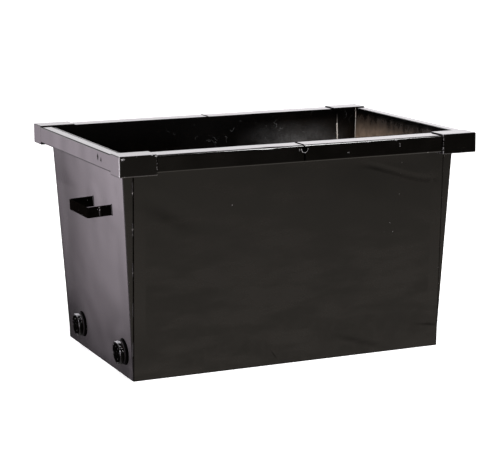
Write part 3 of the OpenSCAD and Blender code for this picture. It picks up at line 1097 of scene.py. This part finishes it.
def base_tray():
    """The base: a sheet with its four edges turned up, its corners notched round the flanges."""
    across = tray_profile(BASE_HALF_W - SHEET_ACROSS, SIDE_SLOPE)
    along = tray_profile(BASE_HALF_L - SHEET, END_SLOPE)
    work = bmesh.new()
    points = {}

    def point(i, j):
        """The tray's point where two sections cross, made once."""
        if (i, j) not in points:
            (x, lift_x), (y, lift_y) = along[i], across[j]
            fade = smooth((0.45 - abs(x)) / 0.2) * smooth((0.26 - abs(y)) / 0.15)
            belly = abs(BELLY * fade * uneven(x, y, 0.2, 4))
            points[i, j] = work.verts.new((x, y, lift_x + lift_y + belly))
        return points[i, j]

    for i in range(len(along) - 1):
        for j in range(len(across) - 1):
            beyond = max(abs(along[i][0]), abs(along[i + 1][0])) > FLANGE_X
            raised = max(across[j][1], across[j + 1][1]) > 0
            if not (beyond and raised):
                work.faces.new((point(i, j), point(i + 1, j), point(i + 1, j + 1), point(i, j + 1)))
    piece = link_work("base_panel_tray", work, ["base", "outside"])
    modify(piece, "SOLIDIFY", thickness=SHEET, offset=1, material_offset=0)
    show(settle(bake_modifiers(piece)), "base_panel")


def make_tank():
    """The five sheets of the tank."""
    long_panel("front_panel", FRONT)
    long_panel("back_panel", BACK)
    left = [(y, DRAIN_UP, COLLAR_R + FLAT_ROUND_DRAIN) for y in DRAINS.values()]
    left += [(s * LEG_Y - HANDLE_Y, HANDLE_UP, FLAT_ROUND_LUG) for s in BOTH]
    right = [(s * LEG_Y + HANDLE_Y, HANDLE_UP, FLAT_ROUND_LUG) for s in BOTH]
    end_panel("left_end_panel", LEFT, left, True, "inside")
    end_panel("right_end_panel", RIGHT, right, False, "inside_muddy")
    base_tray()


# ---- Rim ----

FACE_DENT = 0.00035
LID_DENT = 0.00030
END_RIM_DENT = 0.0004
CAP_FOLD_R = 0.0026
CAP_BEAD_R = CAP_SHEET * 0.9


def rim_ring(inner_edge, outer_edge, inset, edge_radius):
    """Section of a rim tube: (distance from the middle, height). Its top outer edge has its own radius."""
    plain = RIM_CORNER_R - inset
    return rounded_outline(inner_edge + inset, RIM_BOTTOM + inset, outer_edge - inset, RIM_TOP - inset,
                           (plain, edge_radius - inset, plain, plain), 6, 8)


def dented(place, out, height, seed):
    """A rim section's point, pushed in a little where the tube is uneven."""
    face = smooth((out - RIM_OUT + 0.004) / 0.003)
    lid = smooth((height - RIM_TOP + 0.004) / 0.003)
    push = FACE_DENT * (0.6 + uneven(place, height * 0.3, 0.09, seed))
    sink = LID_DENT * (0.6 + uneven(place, out * 0.5, 0.12, seed + 3))
    return out - face * max(0, push), height - lid * max(0, sink)


def long_rim(node, x_side, y_side):
    """One length of a long rim: a square tube from its cap to the mid joint. One has had a knock."""
    tubes = [], []
    seed = 20 + x_side + 3 * y_side
    knock_r = KNOCK_R if (x_side, y_side) == (LEFT, FRONT) else 0
    for x in steps(0.0002, RIM_END, round(RIM_END / 0.010)):
        edge_radius = RIM_EDGE_R + knock_r * smooth(1 - abs(x - KNOCK_X) / KNOCK_L)
        for rings, inset in zip(tubes, (0, RIM_WALL)):
            section = [dented(x, out, z, seed) for out, z in rim_ring(RIM_IN, RIM_OUT, inset, edge_radius)]
            rings.append([Vector((x_side * x, y_side * out, z)) for out, z in section])
    shell = Shell()
    shell.pipe(*tubes)
    piece = shell.make(node + "_tube", ["rim"])
    if y_side == FRONT:
        outwards = Vector((0, -1, 0)), Vector((1, 0, 0)), Vector((0, 0, 1))
        carve(piece, [rod((outwards, Vector((0, -RIM_OUT, VENT_Z))), VENT_R, 0.006)])
    show(ease(piece, 0.0005), node)


def end_rim(node, side):
    """An end rim: a narrower tube between the two long rims."""
    tubes = [], []
    for y in steps(-RIM_IN, RIM_IN, round(2 * RIM_IN / 0.015)):
        push = END_RIM_DENT * max(0, 0.5 + uneven(y, 0, 0.09, 40 + side))
        for rings, inset in zip(tubes, (0, RIM_WALL)):
            section = rim_ring(END_RIM_IN, END_RIM_OUT, inset, RIM_CORNER_R)
            rings.append([Vector((side * (out - push), y, z - 0.4 * push)) for out, z in section])
    shell = Shell()
    shell.pipe(*tubes)
    show(flatten(shell.make(node + "_tube", ["rim"])), node)


def corner_cap(node, x_side, y_side):
    """A corner cap: a folded channel with a closed end, round the end of a long rim."""
    low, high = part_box(node)
    xs = (high.x, low.x) if x_side < 0 else (low.x, high.x)
    ys = (high.y, low.y) if y_side < 0 else (low.y, high.y)
    work = bmesh.new()
    corner = {(a, b, c): work.verts.new((xs[a], ys[b], (low.z, high.z)[c]))
              for a in (0, 1) for b in (0, 1) for c in (0, 1)}
    for names in (((0, 0, 1), (1, 0, 1), (1, 1, 1), (0, 1, 1)),
                  ((0, 0, 0), (1, 0, 0), (1, 1, 0), (0, 1, 0)),
                  ((0, 1, 0), (1, 1, 0), (1, 1, 1), (0, 1, 1)),
                  ((1, 0, 0), (1, 1, 0), (1, 1, 1), (1, 0, 1))):
        work.faces.new([corner[name] for name in names])
    folds = [e for e in work.edges if len(e.link_faces) == 2]
    bmesh.ops.recalc_face_normals(work, faces=work.faces)
    middle = (low + high) / 2
    if any((f.calc_center_median() - middle).dot(f.normal) < 0 for f in work.faces):
        bmesh.ops.reverse_faces(work, faces=work.faces)
    bmesh.ops.bevel(work, geom=folds, offset=CAP_FOLD_R, segments=4, profile=0.5, affect="EDGES")
    piece = link_work(node + "_channel", work, ["cap"])
    modify(piece, "SOLIDIFY", thickness=CAP_SHEET, offset=-1, use_even_offset=True)
    show(ease(settle(bake_modifiers(piece)), 0.0003, 60), node)


def make_rim():
    """The rim's six tubes and four corner caps."""
    for y_name, x_name, y_side, x_side in CORNERS:
        long_rim(y_name + "_rim_" + x_name, x_side, y_side)
        corner_cap(y_name + "_" + x_name + "_corner_cap", x_side, y_side)
    end_rim("left_end_rim", LEFT)
    end_rim("right_end_rim", RIGHT)


# ---- Handles ----

STRAP_BOW = 0.0006


def bar_rings(place, path):
    """Rings of a flat bar along a path of (x, y, direction) in a wall's frame, its height along Z."""
    outline = rounded_outline(-BAR_T / 2, -BAR_H / 2, BAR_T / 2, BAR_H / 2, [BAR_EDGE_R] * 4, 4, 3)
    rings = []
    for x, y, heading in path:
        aside_x, aside_y = math.sin(heading), -math.cos(heading)
        rings.append([placed(place, x + aside_x * a, y + aside_y * a, b) for a, b in outline])
    return rings


def strap_path():
    """The strap's middle line: out along one leg, round a bend, across, round and back."""
    bar_x = HANDLE_REACH - BAR_T / 2
    radius = BEND_R - BAR_T / 2
    path = [(x, -LEG_Y, 0) for x in steps(LUG_L, bar_x - radius, 4)]
    for a in steps(0, 90, 8)[1:]:
        turn = math.radians(a)
        x = bar_x - radius + radius * math.sin(turn)
        path.append((x, -LEG_Y + radius - radius * math.cos(turn), turn))
    for y in steps(-LEG_Y + radius, 0, 10)[1:]:
        path.append((bar_x - STRAP_BOW * smooth(1 - abs(y) / LEG_Y), y, math.pi / 2))
    return path + [(x, -y, math.pi - heading) for x, y, heading in reversed(path[:-1])]


def lug_welds(welds, place, side, s):
    """The welds of one lug: round its foot on the wall, and where the strap's leg meets it."""
    out, across, rise = place[0]
    leg_y = s * LEG_Y
    for face in BOTH:
        foot, head = [placed(place, 0, leg_y + face * BAR_T / 2, end * BAR_H / 2) for end in BOTH]
        bead(welds, straight(foot, head, out, across * face), BEAD_R, BEAD_R, seed=side + s + face)
    foot, head = [placed(place, LUG_L, s * HANDLE_L / 2, end * BAR_H / 2) for end in BOTH]
    bead(welds, straight(foot, head, out, across * s), 0.0032, 0.0016, sweep=180, seed=side + 2 * s)
    for end in BOTH:
        tip = placed(place, 0, leg_y, end * BAR_H / 2)
        run = straight(tip - across * BAR_T / 2, tip + across * BAR_T / 2, out, rise * end)
        bead(welds, run, 0.0024, 0.0024, seed=side + s)


def make_handle(name, side):
    """One handle: the U strap, its two lugs and the welds between them. The walls do not mirror it."""
    place = on_end(side, side * HANDLE_Y, HANDLE_UP)
    strap, lugs, welds = Shell(), Shell(), Shell()
    strap.bar(bar_rings(place, strap_path()))
    for s in BOTH:
        lugs.bar(bar_rings(place, [(x, s * LEG_Y, 0) for x in steps(0, LUG_L, 4)]))
        lug_welds(welds, place, side, s)
    strap.show(name + "_handle_strap", "_bar", "handle", "handle_enamel", BAR_SHARP, False)
    lugs.show(name + "_handle_lugs", "_bars", "handle", "handle_enamel", BAR_SHARP, False)
    welds.show(name + "_handle_welds", "_beads", "weld", "weld_enamel", BEAD_SHARP, False)


# ---- Drains ----

SOCKET_EDGE_R = 0.0006
COLLAR_EDGE_R = 0.0015
SKIRT_R = DRAIN_CAP_R - RIB_H
SKIRT_BORE_R = NECK_R + 0.0007
SKIRT_EDGE_R = 0.0022


def thread(radius, out, angle):
    """Radius of a threaded face at a place along and round it. The thread fades at its ends."""
    turns = out / THREAD_PITCH - angle / (2 * math.pi)
    ridge = abs(2 * (turns % 1) - 1)
    fade = smooth((out - 0.0100) / 0.001) * smooth((NECK_L - 0.0008 - out) / 0.001)
    return radius + THREAD_DEPTH * fade * (0.5 - smooth(ridge * 1.4 - 0.2))


def drain_socket(name, place):
    """A drain socket: a collar on the wall, a tail through it and a threaded neck."""
    ease_r = SOCKET_EDGE_R
    profile = [(BORE_R, -TAIL_L), (TAIL_R - ease_r, -TAIL_L), (TAIL_R, -TAIL_L + ease_r), (TAIL_R, 0),
               (COLLAR_R - ease_r, 0.0002), (COLLAR_R, 0.0008)]
    profile += arc((COLLAR_R - COLLAR_EDGE_R, COLLAR_T - COLLAR_EDGE_R), COLLAR_EDGE_R, 0, 90, 4)
    profile += [(NECK_R + 0.0004, COLLAR_T), (NECK_R - 0.0002, COLLAR_T + 0.0003)]
    profile += [(NECK_R - 0.0006, z) for z in steps(COLLAR_T + 0.0008, NECK_L - 0.0006, 48)]
    profile += [(NECK_R - 0.0010, NECK_L), (BORE_R + ease_r, NECK_L), (BORE_R, NECK_L - ease_r)]

    def cut(radius, out, angle):
        """The neck's thread, on its outer face only."""
        on_neck = out > COLLAR_T + 0.0005 and radius > (NECK_R + BORE_R) / 2
        return thread(radius, out, angle) if on_neck else radius

    shell = Shell()
    lathe(shell, place, profile, 96, cut)
    shell.show(name + "_drain_socket", "_turned", "socket", "socket_enamel", mirrored=False)


def drain_cap_profile():
    """Section of a drain cap from its axis out: the inner face, the bore, the skirt and the outer face."""
    start, end, lip = DRAIN_CAP_START, DRAIN_CAP_END, DRAIN_CAP_LIP
    deep = end - DRAIN_CAP_FACE
    bore = SKIRT_BORE_R
    profile = [(0, deep), (0.012, deep), (bore - 0.002, deep), (bore - 0.0004, deep - 0.0004)]
    profile += [(bore, z) for z in steps(deep - 0.001, start + 0.0008, 36)]
    profile += [(bore + 0.0006, start), (SKIRT_R - 0.0008, start), (SKIRT_R, start + 0.0006)]
    profile += [(SKIRT_R, z) for z in steps(start + 0.0014, end - 0.0030, 6)]
    profile += arc((SKIRT_R - SKIRT_EDGE_R, end - SKIRT_EDGE_R), SKIRT_EDGE_R, 0, 90, 6)
    face = ((lip + 0.0004, 0), (lip, 0.0003), (lip - 0.0008, 0.0010), (0.021, 0.0010), (0.0205, 0.0006),
            (0.0193, 0.0006), (0.0188, 0.0010), (0.0052, 0.0010), (0.0045, 0.0005), (0.0020, 0.0003),
            (0, 0.0003))
    return profile + [(radius, end - sunk) for radius, sunk in face]


def moulded(radius, out, angle):
    """Radius of a drain cap's surface: ribs round the skirt, and the thread inside it."""
    low, high = DRAIN_CAP_START + 0.0012, DRAIN_CAP_END - 0.0009
    if radius > SKIRT_R - 0.0015 and low < out < high:
        wave = 0.5 + 0.5 * math.cos(angle * RIBS)
        fade = smooth((out - low) / 0.0012) * smooth((high - out) / 0.0016)
        return radius + RIB_H * fade * smooth(wave * 1.6 - 0.3)
    return thread(radius, out, angle) if abs(radius - SKIRT_BORE_R) < 1e-6 else radius


def drain_cap(name, place):
    """A drain cap: a ribbed skirt with a thread inside it and a recessed face."""
    shell = Shell()
    lathe(shell, place, drain_cap_profile(), RIBS * 8, moulded)
    piece = shell.make(name + "_drain_cap_moulding", ["drain_cap", "drain_cap_face", "drain_cap_edge"])
    (out, _, _), origin = place
    for face in piece.data.polygons:
        from_axis = (face.center - origin).cross(out).length
        if face.normal.dot(out) > 0.9:
            face.material_index = 1
        elif face.normal.dot(out) > 0.3 and from_axis > DRAIN_CAP_LIP:
            face.material_index = 2
    show(piece, name + "_drain_cap", False)


def cap_gasket(name, place):
    """A flat rubber ring with round edges, on the end of the neck."""
    low, high = NECK_L + 0.0001, NECK_L + GASKET_T
    profile = rounded_outline(GASKET_IN_R, low, GASKET_OUT_R, high, [GASKET_EDGE_R] * 4, 2, 3)
    shell = Shell()
    lathe(shell, place, profile, 72)
    shell.show(name + "_cap_gasket", "_ring", "gasket", "gasket_rubber", mirrored=False)


def socket_weld(shell, place, seed):
    """The ring of bead round a drain socket's collar."""
    (out, across, rise), origin = place
    path = []
    for a in steps(0, 2 * math.pi, 360)[:-1]:
        away = across * math.cos(a) + rise * math.sin(a)
        path.append((origin + away * COLLAR_R, away, out))
    bead(shell, path, 0.0035, 0.0035, pitch=2 * math.pi * COLLAR_R / 90, closed=True, seed=seed)


def make_drains():
    """Both drains. The walls do not mirror them."""
    rings = Shell()
    for name, y in DRAINS.items():
        place = on_end(LEFT, y, DRAIN_UP)
        drain_socket(name, place)
        cap_gasket(name, place)
        drain_cap(name, place)
        socket_weld(rings, place, y)
    rings.show("drain_socket_welds", "_rings", "weld_dull", "weld_enamel", BEAD_SHARP, False)


# ---- Welds ----

# Spatter: its spread along a bead and across it, and the number of drops
STITCH_SPREAD, STITCH_DROPS = (0.05, 0.006), 9
CAP_SPREAD, CAP_DROPS = (0.024, 0.004), 10
RIM_WELD_LOW = RIM_BOTTOM + RIM_CORNER_R
RIM_WELD_HIGH = RIM_TOP - RIM_EDGE_R


def corner_weld(node, x_side, y_side, rng):
    """Stitches along a long panel's upright edge, and the sealing bead inside along the flange's edge,
    which takes the pale silt paint as a painted highlight.
    """
    place = on_side(y_side, 0, 0)
    _, inwards, rise = place[0]
    along = Vector((x_side, 0, 0))
    shell = Shell()
    for i in range(STITCHES):
        start = placed(place, x_side * PANEL_HALF_L, SHEET, STITCH_FIRST + i * STITCH_PITCH)
        run = straight(start, start + rise * STITCH_L, along, -inwards)
        bead(shell, run, BEAD_R, BEAD_R * 0.9, seed=i + x_side + 2 * y_side)
        middle = start + rise * STITCH_L / 2 - inwards * SHEET
        spatter(shell, middle, rise, along, inwards, STITCH_SPREAD, STITCH_DROPS, rng)
    foot, top = [placed(place, x_side * FLANGE_X, SHEET, z + BEAD_R) for z in (TURN_UP, RIM_BOTTOM)]
    outside_faces = len(shell.faces)
    bead(shell, straight(foot, top, -along, inwards, 0.0011), BEAD_R, BEAD_R, pitch=0.0042, seed=x_side)
    # The inside bead takes the pale silt paint, a painted highlight.
    shell.paints[outside_faces:] = [1] * (len(shell.faces) - outside_faces)
    show(shell.make(node + "_beads", ["weld", "silt"], BEAD_SHARP), node)


def base_weld():
    """The watertight bead along the top of the base's turned-up edges."""
    shell = Shell()
    up = Vector((0, 0, 1))
    side_in = side_y(TURN_UP) - SHEET_ACROSS
    end_in = end_x(TURN_UP) - SHEET
    for s in BOTH:
        on_sides = [Vector((t * (FLANGE_X - 0.001), s * side_in, TURN_UP)) for t in BOTH]
        on_ends = [Vector((s * end_in, t * (side_in - SHEET), TURN_UP)) for t in BOTH]
        for run, inwards, seed in ((on_sides, Vector((0, -s, 0)), s), (on_ends, Vector((-s, 0, 0)), s + 4)):
            bead(shell, straight(*run, inwards, up, 0.0014), BEAD_R, BEAD_R, pitch=0.0055, seed=seed)
    shell.show("base_weld", "_beads", "weld_dull", "weld_enamel", BEAD_SHARP)


def cap_mouth_welds(shell, sx, sy, rng):
    """Beads up the face and over the top of a long rim, round one cap's mouth."""
    out, up, away = Vector((0, sy, 0)), Vector((0, 0, 1)), Vector((-sx, 0, 0))
    foot, head = [Vector((sx * CAP_MOUTH, sy * RIM_OUT, z)) for z in (RIM_WELD_LOW, RIM_WELD_HIGH)]
    bead(shell, straight(foot, head, away, out), CAP_BEAD_R, CAP_BEAD_R, seed=sx + 3 * sy)
    near, far = [Vector((sx * CAP_MOUTH, sy * y, RIM_TOP)) for y in (RIM_IN + 0.004, RIM_OUT - 0.006)]
    bead(shell, straight(near, far, away, up), CAP_SHEET * 0.8, CAP_SHEET * 0.7, seed=sx + 5 * sy)
    spatter(shell, (foot + head) / 2, up, away, out, CAP_SPREAD, CAP_DROPS, rng)


def mid_joint_welds(shell, sy):
    """The bead where two long rims meet, up the face and over the top."""
    out, up, right = Vector((0, sy, 0)), Vector((0, 0, 1)), Vector((1, 0, 0))
    stop = VENT_Z - VENT_R - 0.001 if sy == FRONT else RIM_WELD_HIGH
    foot, head = [Vector((0, sy * RIM_OUT, z)) for z in (RIM_WELD_LOW, stop)]
    bead(shell, straight(foot, head, right, out), BEAD_R, 0.0007, sweep=180, seed=sy)
    near, far = [Vector((0, sy * y, RIM_TOP)) for y in (RIM_IN + RIM_CORNER_R, RIM_OUT - RIM_EDGE_R)]
    bead(shell, straight(near, far, right, up), BEAD_R, 0.0013, sweep=180, seed=sy + 3)


def rim_stitches(shell, sy):
    """Short beads along a long panel's top edge, under the rim."""
    out, down, half = Vector((0, sy, 0)), Vector((0, 0, -1)), Vector((RIM_STITCH_L / 2, 0, 0))
    for i in range(-3, 4):
        middle = Vector((i * RIM_STITCH_PITCH, sy * side_y(RIM_BOTTOM), RIM_BOTTOM))
        run = straight(middle - half, middle + half, out, down, 0.001)
        bead(shell, run, RIM_BEAD_R, RIM_BEAD_R * 0.8, pitch=0.004, seed=i + sy)


def rim_welds(rng):
    """Beads round the caps' mouths and the mid joints, and stitches under the rim."""
    shell = Shell()
    for sy in BOTH:
        for sx in BOTH:
            cap_mouth_welds(shell, sx, sy, rng)
        mid_joint_welds(shell, sy)
        rim_stitches(shell, sy)
    shell.show("rim_welds", "_beads", "weld_dull", "weld_enamel", BEAD_SHARP)


def make_welds():
    """The tank's and the rim's welds, their spatter the same on every run."""
    rng = random.Random(11)
    for y_name, x_name, y_side, x_side in CORNERS:
        corner_weld(y_name + "_" + x_name + "_corner_weld", x_side, y_side, rng)
    base_weld()
    rim_welds(rng)


# ---- Studio ----

def make_floor():
    """A wide pale floor. Reflections see the studio's own soft light below the horizon instead of it."""
    shell = Shell()
    places = steps(-60, 60, 12)
    shell.join([shell.number([Vector((x, y, 0)) for x in places]) for y in places])
    floor = shell.make("floor", ["floor"])
    floor.visible_glossy = False
    floor.visible_diffuse = False


def light_above(sky, back):
    """Light from above the horizon: a bright backdrop, and light overhead."""
    backdrop = sky.z.between(0.19, 0.27, 1.0, 0.08) * sky.z.between(0.122, 0.138, 0.80, 1.0)
    backdrop *= sky.x.between(0.30, 0.48, 1.50, 1.80)
    overhead = sky.z.between(0.45, 0.90, 0.0, 2.0) * sky.x.between(0.30, 0.12)
    return back.grade(0.04, backdrop) + overhead


def light_below(sky, azimuth, back, left):
    """Light from below the horizon: a glow on the left, dark in front and paler behind."""
    fading = sky.z.between(-0.252, -0.238, 0.60, 1.0) * sky.z.between(-0.292, -0.262, 0.22, 1.0)
    left_glow = azimuth.between(-0.17, -0.50) * fading * 2.40 + sky.z.between(-0.215, -0.17, 0.0, 0.35)
    dim = sky.x.between(0.31, 0.42, 0.20, 0.04)
    floor = sky.z.between(-0.40, -0.80, 0.53, 1.0)
    front = sky.z.between(-0.165, -0.26).grade(dim, floor)
    behind = azimuth.between(0.25, 0.60, 0.30, 0.85)
    return left.grade(back.grade(front, behind), left_glow)


def make_sky():
    """Soft light by direction: a bright backdrop, light from above and low on the left, dark in front."""
    world = bpy.data.worlds.new("studio")
    world.use_nodes = True
    bpy.context.scene.world = world
    sky = Graph(world.node_tree, "Generated")
    azimuth = sky.x.calc("ARCTAN2", sky.y)
    height = sky.z
    back = sky.y.between(-0.15, 0.35)
    left = azimuth.between(-0.10, -0.15) * azimuth.between(-2.9, -2.4)
    upper = height.between(-0.06, -0.02)
    below = light_below(sky, azimuth, back, left)
    strip = azimuth.near(-1.85, 0.25) * height.near(-0.05, 0.40) * 7.0
    tint = sky.over(back, (1.0, 0.91, 0.80), (1.0, 1.0, 1.0))
    tint = sky.over(left, tint, (1.0, 0.88, 0.98))
    tint = sky.over(upper, tint, (1.0, 0.97, 1.0))
    background = world.node_tree.nodes["Background"]
    sky.feed(background.inputs["Color"], tint)
    sky.feed(background.inputs["Strength"], upper.grade(below, light_above(sky, back)) + strip)


def place_object(name, data, matrix):
    """Puts a lamp or a camera in the scene."""
    thing = bpy.data.objects.new(name, data)
    thing.matrix_world = matrix
    bpy.context.scene.collection.objects.link(thing)
    return thing


def make_lamp():
    """A soft lamp overhead, towards the front and right."""
    light = bpy.data.lights.new("soft_box", "AREA")
    light.shape = "DISK"
    light.size = 1.2
    light.energy = 130
    place = Vector((1.8, -1.5, 4.2))
    aim = (Vector((0, 0, 0.3)) - place).to_track_quat("-Z", "Y").to_matrix().to_4x4()
    place_object("soft_box", light, Matrix.Translation(place) @ aim).visible_camera = False


def make_camera():
    """The photograph's view: low, from the front and left, through a long lens."""
    azimuth, elevation, roll = math.radians(-23.55), math.radians(10.78), math.radians(-0.41)
    distance = 5.886
    target = Vector((0, 0, 0.383))
    back = Vector((math.sin(azimuth) * math.cos(elevation), -math.cos(azimuth) * math.cos(elevation),
                   math.sin(elevation)))
    level = Vector((0, 0, 1)).cross(back).normalized()
    right = level * math.cos(roll) + back.cross(level) * math.sin(roll)
    lens = bpy.data.cameras.new("camera")
    lens.sensor_width = 36
    lens.sensor_fit = "HORIZONTAL"
    lens.lens = 128.79
    lens.clip_end = 200
    turn = Matrix((right, back.cross(right), back)).transposed().to_4x4()
    camera = place_object("camera", lens, Matrix.Translation(target + back * distance) @ turn)
    bpy.context.scene.camera = camera


bpy.context.scene.view_settings.view_transform = "Standard"
make_camera()
make_tank()
make_rim()
make_handle("left", LEFT)
make_handle("right", RIGHT)
make_drains()
make_welds()
make_floor()
make_sky()
make_lamp()
